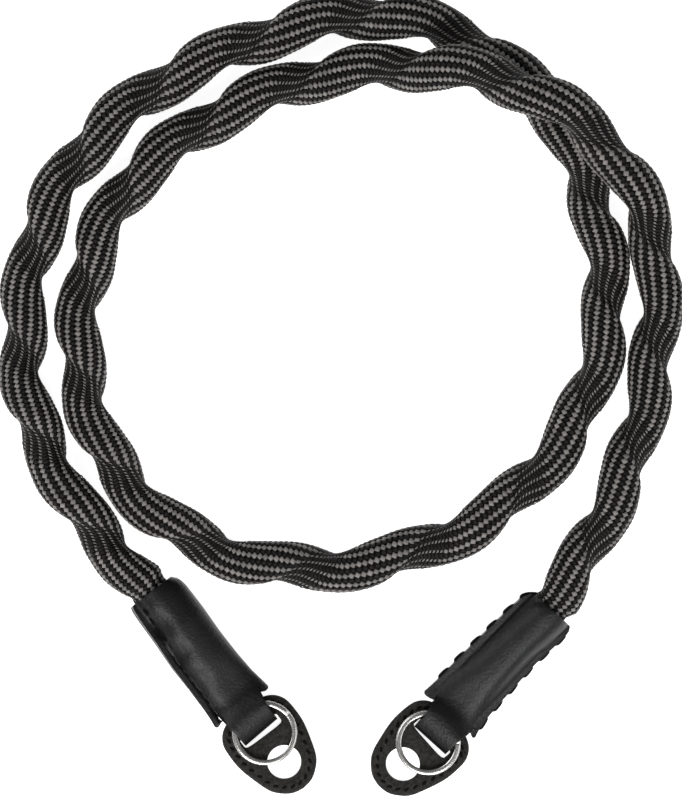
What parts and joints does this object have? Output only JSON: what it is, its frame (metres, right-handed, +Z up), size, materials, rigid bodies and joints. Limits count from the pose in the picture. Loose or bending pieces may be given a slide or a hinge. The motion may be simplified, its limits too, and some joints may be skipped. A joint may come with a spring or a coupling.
{
  "type": "camera strap",
  "caption": "Thick twisted rope camera strap lying in loose coils, with a stitched leather sleeve, a split ring and an oval leather ring tab at each end.",
  "frame": {"origin": "middle of the bounding box at the surface the strap lies on", "axes": "+Z up from the surface, +Y towards the far end of the coils as seen in the picture, +X to their right"},
  "size_m": [0.1882, 0.221, 0.0291],
  "materials": {
    "woven_yarn": "rough woven yarn, black with warm grey",
    "black_leather": "soft grained black leather",
    "bright_steel": "polished spring steel"
  },
  "bodies": {
    "root": {"rope": "woven_yarn", "left_sleeve": "black_leather", "left_split_ring": "bright_steel", "left_ring_tab": "black_leather", "right_sleeve": "black_leather", "right_split_ring": "bright_steel", "right_ring_tab": "black_leather"}
  },
  "joints": []
}
